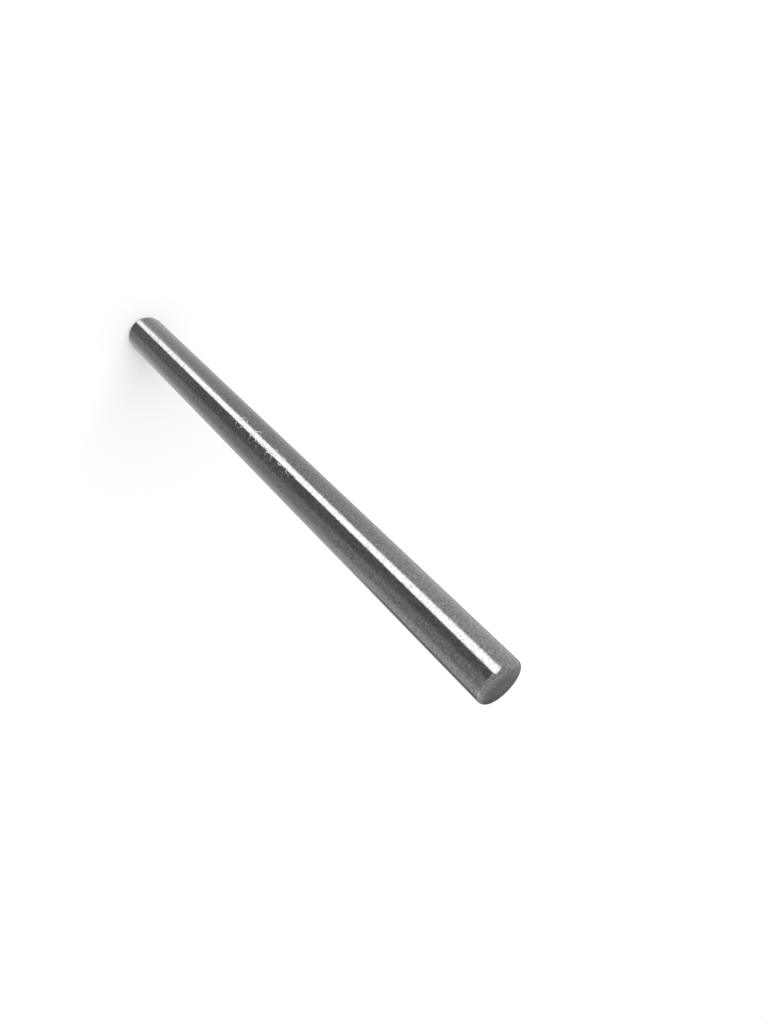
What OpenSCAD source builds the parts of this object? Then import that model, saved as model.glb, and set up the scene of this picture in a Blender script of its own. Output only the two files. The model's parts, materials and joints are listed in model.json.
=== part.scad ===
// Plain pin gauge: one hardened steel pin, ground and lapped true to size along its whole
// length, with flat square ends and softly rounded rims.
// It stands on one end face. The origin is the centre of that face, and +Z runs up the pin's axis.
// Millimetres.

/* [Gauging cylinder] */
// Diameter of the gauging cylinder
gauge_d = 3.6; // [1.5:0.01:12]
// Length over the two end faces
gauge_length = 50.8; // [25:0.1:80]

/* [Rims] */
// Radius of the rounding between the cylinder and each end face
rim_r = 0.35; // [0.05:0.05:0.7]

/* [Hidden] */
$fn = 128;

// Radius of the gauging cylinder
gauge_r = gauge_d / 2;
// Radius of the flat that is left on each end face
face_r = gauge_r - rim_r;
// Heights of the two ends of the true cylinder, where it runs into the rims
cylinder_from = rim_r;
cylinder_to = gauge_length - rim_r;

// The quarter disc that rounds a rim, in the first quadrant
module rim_quarter() {
    intersection() {
        circle(r = rim_r);
        square(rim_r);
    }
}

// Half of the pin's lengthwise section, with the axis on the left:
// the core under the flats, the band under the cylinder, and a rounded rim at each end
module pin_half_section() {
    square([face_r, gauge_length]);
    translate([face_r, cylinder_from])
        square([rim_r, cylinder_to - cylinder_from]);
    translate([face_r, cylinder_to])
        rim_quarter();
    translate([face_r, cylinder_from])
        mirror([0, 1])
            rim_quarter();
}

// The pin, turned from its half section about its own axis
module gauge_pin() {
    color("#8f9193")
        rotate_extrude()
            pin_half_section();
}

gauge_pin();
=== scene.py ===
"""A plain pin gauge, standing on its end face in a small photographic studio.

The pin is one piece of hardened tool steel, ground and lapped, with softly rounded rims and its
size dot-marked on the barrel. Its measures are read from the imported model's record. Every length
here is in millimetres until it is handed to Blender, which works in metres.
"""

import json
import logging
import math
import random
from dataclasses import dataclass, field
from enum import Enum
from typing import Any, Callable

import bpy
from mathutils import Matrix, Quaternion, Vector


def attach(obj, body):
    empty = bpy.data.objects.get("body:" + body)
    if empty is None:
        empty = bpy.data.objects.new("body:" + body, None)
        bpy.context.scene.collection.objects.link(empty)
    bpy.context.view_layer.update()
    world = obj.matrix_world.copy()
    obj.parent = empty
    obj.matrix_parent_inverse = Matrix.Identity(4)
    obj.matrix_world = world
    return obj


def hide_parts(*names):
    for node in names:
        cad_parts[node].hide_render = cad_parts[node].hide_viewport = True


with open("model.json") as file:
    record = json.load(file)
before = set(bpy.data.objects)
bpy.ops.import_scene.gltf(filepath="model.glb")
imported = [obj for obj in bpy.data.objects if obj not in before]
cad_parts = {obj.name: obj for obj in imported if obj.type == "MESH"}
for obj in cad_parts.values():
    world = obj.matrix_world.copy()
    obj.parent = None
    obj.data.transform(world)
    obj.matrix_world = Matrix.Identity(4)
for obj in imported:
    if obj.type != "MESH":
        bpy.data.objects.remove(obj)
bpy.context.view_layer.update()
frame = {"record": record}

MM = 0.001
UP = Vector((0, 0, 1))
log = logging.getLogger("pin_gauge")


# ---------------------------------------------------------------- small helpers


def linear(hex_colour: str) -> tuple[float, float, float, float]:
    """Turn an sRGB colour into the linear one that Blender's sockets take.

    Args:
        hex_colour: The colour as six hex digits after a hash sign.

    Returns:
        Red, green, blue and an alpha of 1.
    """
    shares = [int(hex_colour[i:i + 2], 16) / 255 for i in (1, 3, 5)]
    # The sRGB standard's own curve: a straight foot, and a power above it
    red, green, blue = (s / 12.92 if s <= 0.04045 else ((s + 0.055) / 1.055) ** 2.4 for s in shares)
    return (red, green, blue, 1.0)


def add_node(
    tree: bpy.types.NodeTree,
    kind: str,
    settings: dict[str, Any] | None = None,
    inputs: dict[str | int, Any] | None = None,
) -> bpy.types.Node:
    """Add a node, and set or link what goes into it.

    Args:
        tree: The node tree that the node joins.
        kind: The node's type, without its "ShaderNode" prefix.
        settings: The node's own properties, by name.
        inputs: A value or another node's output socket for each input, by name or number.

    Returns:
        The new node.
    """
    node = tree.nodes.new("ShaderNode" + kind)
    for name, value in (settings or {}).items():
        setattr(node, name, value)
    for name, value in (inputs or {}).items():
        if isinstance(value, bpy.types.NodeSocket):
            tree.links.new(value, node.inputs[name])
        else:
            node.inputs[name].default_value = value
    return node


def calculate(tree: bpy.types.NodeTree, operation: str, *terms: Any) -> bpy.types.NodeSocket:
    """Work out a number in a node tree.

    Args:
        tree: The node tree.
        operation: The Math node's operation.
        terms: Its inputs in order, each a number or a socket.

    Returns:
        The socket that carries the result.
    """
    node = add_node(tree, "Math", {"operation": operation}, dict(enumerate(terms)))
    return node.outputs["Value"]


def ease(
    tree: bpy.types.NodeTree, value: Any, start: float, end: float, low: float, high: float
) -> bpy.types.NodeSocket:
    """Pass smoothly from one level to another while a value runs from start to end.

    Args:
        tree: The node tree.
        value: The socket that is followed.
        start: The value at which the change starts.
        end: The value at which the change ends.
        low: The level at the start.
        high: The level at the end.

    Returns:
        The socket that carries the level.
    """
    node = add_node(
        tree,
        "MapRange",
        {"interpolation_type": "SMOOTHSTEP"},
        {"Value": value, "From Min": start, "From Max": end, "To Min": low, "To Max": high},
    )
    return node.outputs["Result"]


def blend_levels(
    tree: bpy.types.NodeTree, share: Any, first: Any, second: Any
) -> bpy.types.NodeSocket:
    """Mix two levels.

    Args:
        tree: The node tree.
        share: How much of the second level shows, from 0 to 1.
        first: The level at a share of 0.
        second: The level at a share of 1.

    Returns:
        The socket that carries the mix.
    """
    node = add_node(tree, "Mix", {"data_type": "FLOAT"}, {0: share, 2: first, 3: second})
    return node.outputs[0]


def new_material(name: str) -> tuple[bpy.types.Material, bpy.types.NodeTree, bpy.types.Node]:
    """Start a material.

    Args:
        name: The material's name.

    Returns:
        The material, its node tree and its shader.
    """
    material = bpy.data.materials.new(name)
    material.use_nodes = True
    tree = material.node_tree
    return material, tree, tree.nodes["Principled BSDF"]


def speckle(
    tree: bpy.types.NodeTree,
    grain: bpy.types.NodeSocket,
    hex_colour: str,
    span: tuple[float, float],
    shades: tuple[float, float],
) -> bpy.types.NodeSocket:
    """Darken and lighten a colour with a grain, as pits between smooth lands do.

    Args:
        tree: The material's node tree.
        grain: The socket that carries the grain.
        hex_colour: The colour as six hex digits after a hash sign.
        span: The grain's levels at which the colour is darkest and palest.
        shades: What the colour is multiplied by at each of them.

    Returns:
        The socket that carries the speckled colour.
    """
    red, green, blue, _ = linear(hex_colour)
    ramp = add_node(tree, "ValToRGB", None, {"Fac": grain})
    for stop, level, shade in zip(ramp.color_ramp.elements, span, shades):
        stop.position = level
        stop.color = (red * shade, green * shade, blue * shade, 1)
    return ramp.outputs["Color"]


def ray_kinds(tree: bpy.types.NodeTree) -> tuple[bpy.types.NodeSocket, bpy.types.NodeSocket]:
    """Tell the camera's own rays, and those that metal or glass sends on, from all others.

    Args:
        tree: The node tree.

    Returns:
        The socket that is 1 for the camera's rays, and the one that is 1 for those sent on.
    """
    ray = add_node(tree, "LightPath").outputs
    sent_on = calculate(tree, "MAXIMUM", ray["Is Glossy Ray"], ray["Is Transmission Ray"])
    return ray["Is Camera Ray"], sent_on


def deselect_all() -> None:
    """Leave no object selected, so that the next operator acts on nothing by accident."""
    bpy.ops.object.select_all(action="DESELECT")


def pick(obj: bpy.types.Object) -> None:
    """Make an object the only one selected, and the active one.

    Args:
        obj: The object.
    """
    deselect_all()
    obj.select_set(True)
    bpy.context.view_layer.objects.active = obj


def select_only(
    obj: bpy.types.Object, kind: str, wanted: Callable[[bpy.types.MeshEdge | bpy.types.MeshPolygon], bool]
) -> None:
    """Select some edges or faces of a mesh and nothing else, ready for edit mode.

    Args:
        obj: The mesh's object, in object mode.
        kind: "EDGE" or "FACE".
        wanted: Tells whether an edge or a face is to be selected.
    """
    pick(obj)
    mesh = obj.data
    bpy.context.tool_settings.mesh_select_mode = (False, kind == "EDGE", kind == "FACE")
    for part in (mesh.vertices, mesh.edges, mesh.polygons):
        part.foreach_set("select", [False] * len(part))
    for item in mesh.edges if kind == "EDGE" else mesh.polygons:
        item.select = wanted(item)


# ---------------------------------------------------------------- finishes


@dataclass(frozen=True)
class LappedToolSteel:
    """Hardened tool steel, ground between wheels and lapped.

    To the eye it is a dark mirror: neutral grey, sharp reflections along the barrel, a very fine
    grain, and grinding lines that run round the pin. The end faces are ground and not lapped, so
    they turn duller from the rim inwards.
    """

    colour: str = "#7d7d7d"
    barrel_roughness: float = 0.075
    face_roughness: float = 0.155
    # The grain of the lapping grit is about 0.01 mm, too fine to show, so it is drawn at this size
    grain_mm: float = 0.17
    grain_depth_mm: float = 0.00012
    # Octaves of the grain, and how strong the finer ones are
    grain_detail: float = 3.0
    grain_harshness: float = 0.65
    # How much the grain darkens and lightens the grey, and its levels where it does so most
    grain_shade: float = 0.42
    grain_span: tuple[float, float] = (0.3, 0.7)
    # The grinding lines lie about 0.01 mm apart, too fine to show, so they are drawn at this pitch
    line_pitch_mm: float = 0.14
    line_length_mm: float = 2.5
    line_depth_mm: float = 0.00012
    line_detail: float = 2.0
    # Thin oily film from handling, which dulls the mirror in soft patches
    film_patch_mm: float = 4.0
    film_roughness: float = 0.012
    film_detail: float = 1.0
    # The film's levels at which it starts, and at which it dulls the mirror most
    film_span: tuple[float, float] = (0.45, 0.75)

    def material(self, barrel_mm: float, face_mm: float) -> bpy.types.Material:
        """Make the material.

        Args:
            barrel_mm: Radius at which the lapped finish is whole.
            face_mm: Radius inside which the end faces are only ground.

        Returns:
            The finished material.
        """
        steel, tree, shader = new_material("lapped_tool_steel")
        shader.inputs["Metallic"].default_value = 1.0

        place = add_node(tree, "TexCoord").outputs["Object"]
        grain = add_node(
            tree, "TexNoise", None,
            {
                "Vector": place,
                "Scale": 1 / (self.grain_mm * MM),
                "Detail": self.grain_detail,
                "Roughness": self.grain_harshness,
            },
        ).outputs["Fac"]
        along, across = 1 / (self.line_pitch_mm * MM), 1 / (self.line_length_mm * MM)
        stretched = add_node(
            tree, "Mapping", None, {"Vector": place, "Scale": (across, across, along)}
        ).outputs["Vector"]
        lines = add_node(
            tree, "TexNoise", None, {"Vector": stretched, "Scale": 1.0, "Detail": self.line_detail}
        ).outputs["Fac"]
        film = add_node(
            tree, "TexNoise", None,
            {"Vector": place, "Scale": 1 / (self.film_patch_mm * MM), "Detail": self.film_detail},
        ).outputs["Fac"]

        # Distance from the pin's axis, which tells the barrel from the end faces
        parts = add_node(tree, "SeparateXYZ", None, {"Vector": place})
        flat = add_node(
            tree, "CombineXYZ", None, {"X": parts.outputs["X"], "Y": parts.outputs["Y"]}
        ).outputs["Vector"]
        radius = add_node(
            tree, "VectorMath", {"operation": "LENGTH"}, {0: flat}
        ).outputs["Value"]
        roughness = ease(
            tree, radius, face_mm * MM, barrel_mm * MM, self.face_roughness, self.barrel_roughness
        )
        film_dulls = ease(tree, film, *self.film_span, 0.0, self.film_roughness)
        roughness = calculate(tree, "ADD", roughness, film_dulls)
        tree.links.new(roughness, shader.inputs["Roughness"])

        shades = (1 - self.grain_shade, 1 + self.grain_shade)
        colour = speckle(tree, grain, self.colour, self.grain_span, shades)
        tree.links.new(colour, shader.inputs["Base Color"])

        bumps = add_node(
            tree, "Bump", None,
            {"Height": grain, "Strength": 1.0, "Distance": self.grain_depth_mm * MM},
        ).outputs["Normal"]
        ground = add_node(
            tree, "Bump", None,
            {"Height": lines, "Normal": bumps, "Strength": 1.0, "Distance": self.line_depth_mm * MM},
        ).outputs["Normal"]
        tree.links.new(ground, shader.inputs["Normal"])
        return steel


@dataclass(frozen=True)
class StruckSteel:
    """The bared inside of the pits that a hard point struck, bright and left as struck.

    A pit is too small to show its form. It catches the strip lamp as a white speck in the dark
    band, and turns it away as a grey speck in the bright one.
    """

    colour: str = "#959595"
    roughness: float = 0.13
    grit_mm: float = 0.07
    grit_detail: float = 2.0
    # How much the grit darkens the grey, and its levels where the grey is darkest and palest
    grit_shade: float = 0.3
    grit_span: tuple[float, float] = (0.35, 0.65)
    # The grit's levels where a pit is smoothest and dullest, and its shares of the roughness there
    dull_span: tuple[float, float] = (0.3, 0.7)
    dull_shares: tuple[float, float] = (0.8, 1.2)

    def material(self) -> bpy.types.Material:
        """Make the material.

        Returns:
            The finished material.
        """
        struck, tree, shader = new_material("struck_tool_steel")
        shader.inputs["Metallic"].default_value = 1.0
        place = add_node(tree, "TexCoord").outputs["Object"]
        grit = add_node(
            tree, "TexNoise", None,
            {"Vector": place, "Scale": 1 / (self.grit_mm * MM), "Detail": self.grit_detail},
        ).outputs["Fac"]
        colour = speckle(tree, grit, self.colour, self.grit_span, (1 - self.grit_shade, 1))
        tree.links.new(colour, shader.inputs["Base Color"])
        smoothest, dullest = (self.roughness * share for share in self.dull_shares)
        rough = ease(tree, grit, *self.dull_span, smoothest, dullest)
        tree.links.new(rough, shader.inputs["Roughness"])
        return struck


# ---------------------------------------------------------------- the marked size


# An arc is drawn as short straight lines: one for each such step, and at least so many
ARC_STEP_DEG = 15
LEAST_ARC_STEPS = 6


class Numeral(Enum):
    """The single-stroke numerals of a marking template, as arcs and lines.

    Each value is a sign and its strokes, in a cell one unit wide and one unit high. A list of
    pairs is a line through those points. Six numbers are an arc: the two of its centre, its half
    width and half height, then where it starts and ends in degrees.
    """

    ZERO = ("0", [(0.5, 0.5, 0.5, 0.5, 90, 450)])
    THREE = ("3", [(0.48, 0.74, 0.44, 0.26, 155, -90), (0.48, 0.25, 0.5, 0.25, 90, -155)])
    SIX = ("6", [(1.0, 0.3, 1.0, 0.7, 105, 180), (0.5, 0.3, 0.5, 0.3, 180, 540)])
    EIGHT = ("8", [(0.5, 0.76, 0.42, 0.24, -90, 270), (0.5, 0.26, 0.5, 0.26, 90, 450)])
    POINT = (".", [[(0.42, 0.04), (0.58, 0.04)]])
    GAP = (" ", [])

    @classmethod
    def of(cls, sign: str) -> "Numeral":
        """Find the numeral for one printed sign."""
        return next(numeral for numeral in cls if numeral.value[0] == sign)

    def strokes(self, width: float, height: float) -> list[list[tuple[float, float]]]:
        """Draw the numeral.

        Args:
            width: Width of the cell.
            height: Height of the cell.

        Returns:
            Each stroke as the corners of the line that the point follows.
        """
        drawn = []
        for stroke in self.value[1]:
            if isinstance(stroke, tuple):
                x, y, half_w, half_h, start, end = stroke
                steps = max(LEAST_ARC_STEPS, round(abs(end - start) / ARC_STEP_DEG))
                turns = [math.radians(start + (end - start) * i / steps) for i in range(steps + 1)]
                stroke = [(x + half_w * math.cos(t), y + half_h * math.sin(t)) for t in turns]
            drawn.append([(x * width, y * height) for x, y in stroke])
        return drawn


def walk(line: list[tuple[float, float]], step: float) -> list[tuple[float, float]]:
    """Step along a line at even distances.

    Args:
        line: The line's corners.
        step: Distance between two steps.

    Returns:
        Where each step falls, from the line's start.
    """
    places = [line[0]]
    to_next = step
    for (x0, y0), (x1, y1) in zip(line, line[1:]):
        length = math.hypot(x1 - x0, y1 - y0)
        while to_next <= length:
            share = to_next / length
            places.append((x0 + (x1 - x0) * share, y0 + (y1 - y0) * share))
            to_next += step
        to_next -= length
    return places


@dataclass
class DotMarkedSize:
    """The pin's size in millimetres and a plain number, marked along the barrel.

    A vibrating point struck it as rows of tiny pits. They are half worn away, so that the
    numerals come and go along their strokes.
    """

    text: str = "3.60 086380"
    # Height above the foot at which the first numeral starts
    start_mm: float = 16.65
    # Distance round the barrel of the numerals' mid line from -Y towards -X, first and last
    middle_mm: tuple[float, float] = (0.52, -0.1)
    height_mm: float = 1.2
    width_mm: float = 0.84
    pitch_mm: float = 1.3
    point_pitch_mm: float = 0.65
    gap_pitch_mm: float = 0.9
    # Half width and half height of the point's blunt round tip, and how finely it is divided
    tip_mm: tuple[float, float] = (0.1, 0.026)
    tip_divisions: int = 2
    # How far apart it strikes, and how far it strays from its line
    step_mm: float = 0.1
    stray_mm: float = 0.03
    # Depth of a fresh pit
    depth_mm: float = 0.011
    # Least and greatest share of that depth with which a stroke starts
    start_shares: tuple[float, float] = (0.2, 1.0)
    # How much the depth wanders from one pit to the next, as a share of a fresh pit's
    wander: float = 0.4
    # Lowest share that it wanders to, and the lowest that still leaves a pit
    worn_share: float = -0.15
    least_share: float = 0.15
    # Height at which the numerals are least worn, and how far from it they are worn away
    fresh_mm: float = 23.9
    worn_away_mm: float = 6.5
    seed: int = 36

    @property
    def end_mm(self) -> float:
        """Height above the foot at which the last numeral ends."""
        return self.start_mm + sum(self.step(sign) for sign in self.text)

    def step(self, sign: str) -> float:
        """How far the point moves on for one sign, in millimetres."""
        return {".": self.point_pitch_mm, " ": self.gap_pitch_mm}.get(sign, self.pitch_mm)

    def pits(self) -> list[tuple[float, float, float]]:
        """Find where the point struck.

        Returns:
            For each pit its height above the foot, its distance round the barrel and its depth.
        """
        chance = random.Random(self.seed)
        first, last = self.middle_mm
        found = []
        along = self.start_mm
        for sign in self.text:
            for stroke in Numeral.of(sign).strokes(self.width_mm, self.height_mm):
                share = chance.uniform(*self.start_shares)
                for across, high in walk(stroke, self.step_mm):
                    share += chance.uniform(-self.wander, self.wander)
                    share = min(1.0, max(self.worn_share, share))
                    height = along + across + chance.gauss(0, self.stray_mm)
                    run = (height - self.start_mm) / (self.end_mm - self.start_mm)
                    middle = first + (last - first) * run
                    arc = middle + high - self.height_mm / 2 + chance.gauss(0, self.stray_mm)
                    left = share * (1 - ((height - self.fresh_mm) / self.worn_away_mm) ** 2)
                    if left > self.least_share:
                        found.append((height, arc, left * self.depth_mm))
            along += self.step(sign)
        return found

    def cutter(self, barrel_mm: float) -> bpy.types.Object:
        """Make the solid that the point leaves out: one flattened ball for each pit.

        Args:
            barrel_mm: The barrel's radius.

        Returns:
            A mesh of all balls, each sunk into the barrel by its pit's depth.
        """
        deselect_all()
        half_width, half_height = self.tip_mm
        for height, arc, depth in self.pits():
            turn = arc / barrel_mm
            reach = barrel_mm + half_height - depth
            place = (-reach * math.sin(turn), -reach * math.cos(turn), height)
            bpy.ops.mesh.primitive_ico_sphere_add(
                subdivisions=self.tip_divisions,
                radius=half_width * MM,
                location=[value * MM for value in place],
                rotation=(0, 0, -turn),
                scale=(1, half_height / half_width, 1),
            )
            # The first ball is an object, and each one after it joins its mesh
            if bpy.context.mode == "OBJECT":
                bpy.ops.object.mode_set(mode="EDIT")
        bpy.ops.object.mode_set(mode="OBJECT")
        return bpy.context.active_object


# ---------------------------------------------------------------- the pin


@dataclass
class GaugePin:
    """The gauge: a lapped barrel between two ground end faces, with a rounded rim at each."""

    radius_mm: float
    length_mm: float
    rim_mm: float
    steel: LappedToolSteel = field(default_factory=LappedToolSteel)
    pit_steel: StruckSteel = field(default_factory=StruckSteel)
    size: DotMarkedSize = field(default_factory=DotMarkedSize)
    # Facets round the barrel, and round each rim's quarter turn
    turns: int = 480
    rim_steps: int = 14
    # How far an end face falls away at its corner, before the corner is rounded
    fall_mm: float = 0.12
    # Shares of the radius: where the rounded rim starts, and inside which the face is flat
    rim_share: float = 0.78
    flat_share: float = 0.4
    # Rings that shape the soft shoulder between the two
    shoulder_rings: int = 6
    # Plain barrel that is left on each side of the marked size
    margin_mm: float = 0.6
    # Share of the rim's width, next to the barrel, that is lapped as well as the barrel
    lapped_rim: float = 0.2
    # Least part of a face's normal that points along the axis, where it is an end face's
    level_normal: float = 0.99999
    # Share of the radius past which a corner of the mesh lies on the barrel
    barrel_share: float = 0.999
    # How far below the barrel's facets a face's middle lies, at least, where it is a pit's
    least_pit_mm: float = 0.0003
    # Widest angle between two faces that are shaded as one surface
    smooth_deg: float = 25.0

    @classmethod
    def from_record(cls, record: dict[str, Any]) -> "GaugePin":
        """Read the pin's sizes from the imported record.

        Args:
            record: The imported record, whose mounts hold the barrel and the two end faces.

        Returns:
            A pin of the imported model's size.
        """
        mounts = {mount["name"]: mount for mount in record["mounts"]}
        length = (mounts["top_face"]["pos_m"][2] - mounts["foot_face"]["pos_m"][2]) / MM
        barrel = mounts["gauging_surface"]["dims"]
        return cls(barrel["r_mm"], length, (length - barrel["length_mm"]) / 2)

    def build(self) -> bpy.types.Object:
        """Model the pin, mark it, dress it and join it to the frame.

        Returns:
            The finished pin.
        """
        pin = self.turn_blank()
        self.shape_ends(pin)
        self.round_rims(pin)
        self.band_barrel(pin)
        self.mark_size(pin)
        self.dress(pin)
        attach(pin, "root")
        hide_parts("gauge_pin")
        log.info("%s: %d faces", pin.name, len(pin.data.polygons))
        return pin

    def turn_blank(self) -> bpy.types.Object:
        """Turn the blank: a cylinder that ends at the corners of the two end faces.

        Returns:
            The blank, which becomes the pin.
        """
        deselect_all()
        bpy.ops.mesh.primitive_cylinder_add(
            vertices=self.turns,
            radius=self.radius_mm * MM,
            depth=(self.length_mm - 2 * self.fall_mm) * MM,
            end_fill_type="NGON",
            location=(0, 0, self.length_mm / 2 * MM),
        )
        pin = bpy.context.active_object
        pin.name = pin.data.name = "lapped_pin"
        pick(pin)
        bpy.ops.object.transform_apply(location=True, rotation=True, scale=True)
        return pin

    def fall_at(self, share: float) -> float:
        """How far an end face has fallen away at a share of the pin's radius, in millimetres."""
        past_flat = max(0.0, share - self.flat_share) / (1 - self.flat_share)
        return self.fall_mm * past_flat ** 2

    def shape_ends(self, pin: bpy.types.Object) -> None:
        """Draw each end face out ring by ring, from its corner to the flat in its middle.

        Args:
            pin: The turned blank.
        """
        step = (self.rim_share - self.flat_share) / self.shoulder_rings
        shares = [1.0, *(self.rim_share - step * ring for ring in range(self.shoulder_rings + 2))]
        for side in (-1, 1):
            for outer, inner in zip(shares, shares[1:]):
                end = max(
                    (face for face in pin.data.polygons if face.normal.z * side > self.level_normal),
                    key=lambda face: len(face.vertices),
                ).index
                select_only(pin, "FACE", lambda face: face.index == end)
                bpy.ops.object.mode_set(mode="EDIT")
                bpy.ops.mesh.inset(thickness=(outer - inner) * self.radius_mm * MM)
                rise = self.fall_at(outer) - self.fall_at(inner)
                bpy.ops.transform.translate(value=(0, 0, side * rise * MM))
                bpy.ops.object.mode_set(mode="OBJECT")

    def round_rims(self, pin: bpy.types.Object) -> None:
        """Round both rims, so that the barrel and the shoulder run into each other.

        Args:
            pin: The blank with its ends shaped.
        """
        slope = math.atan2(
            self.fall_at(1.0) - self.fall_at(self.rim_share), (1 - self.rim_share) * self.radius_mm
        )
        setback = self.rim_mm / math.tan(math.pi / 4 + slope / 2)
        vertices = pin.data.vertices
        on_barrel = self.barrel_share * self.radius_mm * MM
        corners = {vertex.index for vertex in vertices if vertex.co.xy.length > on_barrel}
        # The barrel's long edges join two such corners as well, and are left as they are
        sides = {
            edge.index for edge in pin.data.edges
            if abs(vertices[edge.vertices[0]].co.z - vertices[edge.vertices[1]].co.z) > self.radius_mm * MM
        }
        select_only(
            pin, "EDGE", lambda edge: corners.issuperset(edge.vertices) and edge.index not in sides
        )
        bpy.ops.object.mode_set(mode="EDIT")
        bpy.ops.mesh.bevel(
            offset=setback * MM, segments=self.rim_steps, profile=0.5,
            affect="EDGES", clamp_overlap=False,
        )
        bpy.ops.object.mode_set(mode="OBJECT")

    def band_barrel(self, pin: bpy.types.Object) -> None:
        """Cut rings round the barrel above and below the marked size.

        Args:
            pin: The pin with its rims rounded.
        """
        rings = (self.size.start_mm - self.margin_mm, self.size.end_mm + self.margin_mm)
        for height in rings:
            pick(pin)
            bpy.ops.object.mode_set(mode="EDIT")
            bpy.ops.mesh.select_all(action="SELECT")
            bpy.ops.mesh.bisect(plane_co=(0, 0, height * MM), plane_no=(0, 0, 1))
            bpy.ops.object.mode_set(mode="OBJECT")

    def mark_size(self, pin: bpy.types.Object) -> None:
        """Strike the size into the barrel.

        Args:
            pin: The pin with its rings cut.
        """
        cutter = self.size.cutter(self.radius_mm)
        pick(pin)
        strike = pin.modifiers.new("marking", "BOOLEAN")
        strike.operation = "DIFFERENCE"
        strike.solver = "EXACT"
        strike.use_self = True
        strike.object = cutter
        bpy.ops.object.modifier_apply(modifier=strike.name)
        bpy.data.objects.remove(cutter)

    def dress(self, pin: bpy.types.Object) -> None:
        """Shade the pin and give its surfaces their finishes.

        Args:
            pin: The marked pin.
        """
        mesh = pin.data
        mesh.materials.clear()
        face_mm = self.radius_mm - self.rim_mm
        barrel_mm = self.radius_mm - self.rim_mm * self.lapped_rim
        mesh.materials.append(self.steel.material(barrel_mm, face_mm))
        mesh.materials.append(self.pit_steel.material())
        for face in mesh.polygons:
            face.material_index = 1 if self.is_struck(face) else 0
        # The lip of each pit is crisp, though the pit is too shallow for its angle to show it
        border = {}
        for face in mesh.polygons:
            for key in face.edge_keys:
                border.setdefault(key, set()).add(face.material_index)
        for edge in mesh.edges:
            edge.use_edge_sharp = len(border[edge.key]) > 1
        pick(pin)
        bpy.ops.object.shade_smooth_by_angle(angle=math.radians(self.smooth_deg))

    def is_struck(self, face: bpy.types.MeshPolygon) -> bool:
        """Tell whether a face lies in a pit of the marked size.

        Args:
            face: A face of the marked pin.

        Returns:
            True where it does.
        """
        size = self.size
        in_band = size.start_mm - self.margin_mm < face.center.z / MM < size.end_mm + self.margin_mm
        facet_mid = self.radius_mm * math.cos(math.pi / self.turns)
        return in_band and face.center.xy.length / MM < facet_mid - self.least_pit_mm


# ---------------------------------------------------------------- the studio


@dataclass(frozen=True)
class Band:
    """An upright band of the studio that the barrel mirrors: a strip lamp, a flag or a gap.

    Azimuths are in degrees from the camera's side (-Y), positive towards -X, which the turned
    camera has at its upper right. Elevations are in degrees above the horizon. A level of 1 is
    as bright as white paper.
    """

    level: float
    # Azimuths of the band's two edges, low down and higher up
    low: tuple[float, float]
    high: tuple[float, float]
    # Width over which each edge fades
    soft: tuple[float, float]
    # Elevations between which the band comes in, and between which it is gone again
    bottom: tuple[float, float] = (-91.0, -90.0)
    top: tuple[float, float] = (90.0, 91.0)
    # Elevations of low and high
    lean: tuple[float, float] = (-50.0, -20.0)
    # Elevations between which both edges curve in to the middle, for a lamp with a round head
    head: tuple[float, float] | None = None

    def share(
        self, tree: bpy.types.NodeTree, azimuth: bpy.types.NodeSocket, elevation: bpy.types.NodeSocket
    ) -> bpy.types.NodeSocket:
        """How far a direction lies inside the band, from 0 to 1.

        Args:
            tree: The world's node tree.
            azimuth: The direction's azimuth.
            elevation: The direction's elevation.

        Returns:
            The socket that carries the share.
        """
        middle = sum(self.low + self.high) / 4
        off = calculate(tree, "WRAP", calculate(tree, "SUBTRACT", azimuth, middle), 180, -180)
        first = ease(tree, elevation, *self.lean, self.low[0] - middle, self.high[0] - middle)
        last = ease(tree, elevation, *self.lean, self.low[1] - middle, self.high[1] - middle)
        if self.head:
            kept = self.head_share(tree, elevation)
            first, last = (calculate(tree, "MULTIPLY", edge, kept) for edge in (first, last))
        past_first = calculate(tree, "SUBTRACT", off, first)
        past_last = calculate(tree, "SUBTRACT", off, last)
        shares = (
            ease(tree, past_first, -self.soft[0] / 2, self.soft[0] / 2, 0, 1),
            ease(tree, past_last, -self.soft[1] / 2, self.soft[1] / 2, 1, 0),
            ease(tree, elevation, *self.bottom, 0, 1),
            ease(tree, elevation, *self.top, 1, 0),
        )
        product = shares[0]
        for share in shares[1:]:
            product = calculate(tree, "MULTIPLY", product, share)
        return product

    def head_share(self, tree: bpy.types.NodeTree, elevation: bpy.types.NodeSocket) -> bpy.types.NodeSocket:
        """How much of the band's width is left in its round head.

        Args:
            tree: The world's node tree.
            elevation: The direction's elevation.

        Returns:
            The socket that carries the share: 1 below the head, 0 at its tip.
        """
        start, end = self.head
        height = add_node(
            tree, "MapRange", None, {"Value": elevation, "From Min": start, "From Max": end}
        ).outputs["Result"]
        under_circle = calculate(tree, "SUBTRACT", 1, calculate(tree, "MULTIPLY", height, height))
        return calculate(tree, "SQRT", under_circle)


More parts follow.
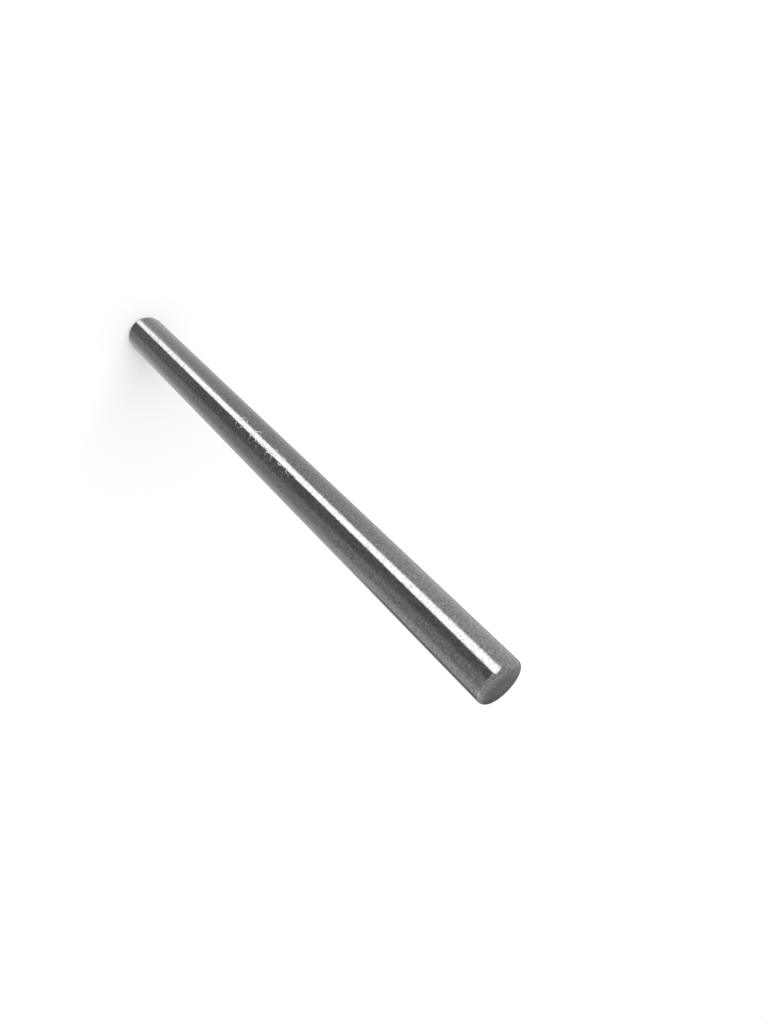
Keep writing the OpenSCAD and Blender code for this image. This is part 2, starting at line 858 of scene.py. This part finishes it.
def studio_bands() -> tuple[Band, ...]:
    """List what stands round the pin, from the widest to the brightest.

    Returns:
        The bands. Each one covers those before it.
    """
    return (
        # Pale wall on the right, which lights the upper part of the barrel and its rim
        Band(level=1.18, low=(72, 151), high=(64, 151), soft=(40, 30), bottom=(-34, -17), top=(45, 80)),
        Band(level=1.26, low=(97, 129), high=(97, 129), soft=(36, 24), bottom=(-36, -24), top=(-20, 30)),
        # Both sides fall off behind the pin
        Band(level=0.45, low=(-178, -152), high=(-178, -152), soft=(8, 18), top=(-36, -26)),
        Band(level=0.25, low=(152, 182), high=(152, 182), soft=(22, 8), top=(0, 20)),
        # Shade on the camera's side, the dark flag in it, and the light that the table throws on it
        Band(level=0.65, low=(-98, 15), high=(-80, 15), soft=(26, 4), top=(-21, 14)),
        Band(level=0.34, low=(-48, 15), high=(-30, 15), soft=(26, 4), top=(-21, 22)),
        Band(level=0.4, low=(-44, 17), high=(-44, 17), soft=(16, 4), top=(-54, -48)),
        # A thin dark edge on the left, at the height of the pin's top
        Band(
            level=0.38, low=(-172, -126), high=(-172, -126), soft=(8, 14),
            bottom=(-36, -27), top=(-18, -4),
        ),
        # The dark room low behind the pin, which the top face mirrors
        Band(level=0.23, low=(173, 208), high=(173, 208), soft=(22, 40), bottom=(-16, -4), top=(11, 49)),
        # A small lamp on the left, which glints on the rim
        Band(
            level=1.85, low=(-112, -82), high=(-112, -82), soft=(26, 26),
            bottom=(-17.5, -13.5), top=(-12, 32),
        ),
        # The strip lamp on the camera's right, and the light that spills past its foot
        Band(level=1.3, low=(38, 52), high=(38, 52), soft=(6, 12), top=(-52, -48)),
        Band(
            level=5.1, low=(11.2, 38.2), high=(10.8, 43.8), soft=(10, 14),
            bottom=(-90, -42), top=(26, 70), lean=(-35, -18), head=(-5, 66),
        ),
    )


@dataclass
class Studio:
    """Plain pale studio: a white floor and backdrop, soft light, and what the metal mirrors.

    The camera sees white all round. The metal sees that white too, with a strip lamp and some
    dark flags standing in it, which draw the long streaks on the barrel. They reach from below
    the table upwards, so that the barrel mirrors them down to its foot.
    """

    white: float = 1.0
    room_level: float = 0.66
    # Level of the white surroundings low down, at the height of the pin's top, and overhead
    surroundings: tuple[float, float, float] = (0.87, 1.08, 0.95)
    # Elevations between which the first of those passes to the second, and the second to the third
    lower_deg: tuple[float, float] = (-46.0, -24.0)
    upper_deg: tuple[float, float] = (0.0, 45.0)
    floor_mm: float = 12000.0
    floor_colour: str = "#f0f0f0"
    floor_roughness: float = 0.9
    floor_glow: float = 0.16
    sun_strength: float = 1.5
    sun_width_deg: float = 60.0
    # Where the soft lamp stands: azimuth as for the bands, and elevation
    sun_place_deg: tuple[float, float] = (32.0, 48.0)
    sun_height_mm: float = 300.0

    def build(self) -> None:
        """Make the world, the floor and the lamp."""
        self.make_world()
        self.make_floor()
        self.make_lamp()
        log.info("studio: world, floor and lamp")

    def mirrored_level(self, tree: bpy.types.NodeTree) -> bpy.types.NodeSocket:
        """Work out how bright the studio is in the direction that the metal mirrors.

        Args:
            tree: The world's node tree.

        Returns:
            The socket that carries the level.
        """
        direction = add_node(tree, "TexCoord").outputs["Generated"]
        parts = add_node(tree, "SeparateXYZ", None, {"Vector": direction})
        east, north, up = (parts.outputs[axis] for axis in "XYZ")
        turn = calculate(
            tree, "ARCTAN2", calculate(tree, "MULTIPLY", east, -1), calculate(tree, "MULTIPLY", north, -1)
        )
        azimuth = calculate(tree, "DEGREES", turn)
        elevation = calculate(tree, "DEGREES", calculate(tree, "ARCSINE", up))
        low, level_with_top, overhead = self.surroundings
        level = ease(tree, elevation, *self.lower_deg, low, level_with_top)
        level = blend_levels(tree, ease(tree, elevation, *self.upper_deg, 0, 1), level, overhead)
        for band in studio_bands():
            level = blend_levels(tree, band.share(tree, azimuth, elevation), level, band.level)
        return level

    def make_world(self) -> None:
        """Make the world: white to the camera, the studio to the metal, plain soft light elsewhere."""
        world = bpy.data.worlds.new("studio")
        bpy.context.scene.world = world
        world.use_nodes = True
        # The world's light is gathered by the surfaces' own rays, so that each ray sees its own level
        world.cycles.sampling_method = "NONE"
        tree = world.node_tree
        camera_ray, mirror_ray = ray_kinds(tree)
        level = blend_levels(tree, mirror_ray, self.room_level, self.mirrored_level(tree))
        level = blend_levels(tree, camera_ray, level, self.white)
        tree.links.new(level, tree.nodes["Background"].inputs["Strength"])
        tree.nodes["Background"].inputs["Color"].default_value = (1, 1, 1, 1)

    def make_floor(self) -> None:
        """Lay the pale floor. It lifts itself to white, and keeps the pin's shadow."""
        deselect_all()
        bpy.ops.mesh.primitive_plane_add(size=self.floor_mm * MM, location=(0, 0, 0))
        floor = bpy.context.active_object
        floor.name = "floor"
        paper, tree, shader = new_material("matt_white_paper")
        shader.inputs["Base Color"].default_value = linear(self.floor_colour)
        shader.inputs["Roughness"].default_value = self.floor_roughness
        shader.inputs["Specular IOR Level"].default_value = 0.0
        shader.inputs["Emission Color"].default_value = (1, 1, 1, 1)
        seen = calculate(tree, "MAXIMUM", *ray_kinds(tree))
        glow = calculate(tree, "MULTIPLY", seen, self.floor_glow)
        tree.links.new(glow, shader.inputs["Emission Strength"])
        floor.data.materials.append(paper)
        # The barrel mirrors the studio's bands down to its foot, and not the paper alone
        floor.visible_glossy = False

    def make_lamp(self) -> None:
        """Hang the wide soft lamp that throws the pin's shadow. Its mirror image is the strip lamp."""
        deselect_all()
        bpy.ops.object.light_add(type="SUN", location=(0, 0, self.sun_height_mm * MM))
        lamp = bpy.context.active_object
        lamp.name = "soft_lamp"
        lamp.data.energy = self.sun_strength
        lamp.data.angle = math.radians(self.sun_width_deg)
        azimuth, elevation = (math.radians(angle) for angle in self.sun_place_deg)
        away = Vector((math.sin(azimuth), math.cos(azimuth), 0)) * math.cos(elevation)
        away -= UP * math.sin(elevation)
        lamp.rotation_euler = away.to_track_quat("-Z", "Y").to_euler()
        lamp.visible_camera = False
        lamp.visible_glossy = False


@dataclass(frozen=True)
class CloseUpCamera:
    """A camera close to the pin's upper end, turned so that the pin lies across the picture."""

    place_mm: tuple[float, float, float] = (0.0, -45.444, 66.349)
    aim_mm: tuple[float, float, float] = (-2.927, -0.189, 35.586)
    roll_deg: float = 132.505
    lens_mm: float = 26.5
    # Nearest and farthest that it sees
    clip_mm: tuple[float, float] = (1.0, 30000.0)

    def build(self) -> None:
        """Make the camera and let the scene look through it."""
        place, aim = Vector(self.place_mm) * MM, Vector(self.aim_mm) * MM
        deselect_all()
        bpy.ops.object.camera_add(location=place)
        camera = bpy.context.active_object
        camera.name = "close_up_camera"
        camera.data.lens = self.lens_mm
        camera.data.clip_start, camera.data.clip_end = (length * MM for length in self.clip_mm)
        roll = Quaternion((0, 0, 1), math.radians(self.roll_deg))
        camera.rotation_mode = "QUATERNION"
        camera.rotation_quaternion = (aim - place).to_track_quat("-Z", "Y") @ roll
        bpy.context.scene.camera = camera
        log.info("camera: %.1f mm lens", self.lens_mm)


# ---------------------------------------------------------------- the scene


def main() -> None:
    """Build the camera, the studio and the pin."""
    logging.basicConfig(level=logging.INFO, format="%(name)s: %(message)s")
    bpy.context.scene.view_settings.view_transform = "Standard"
    CloseUpCamera().build()
    Studio().build()
    GaugePin.from_record(frame["record"]).build()


if __name__ == "__main__":
    main()
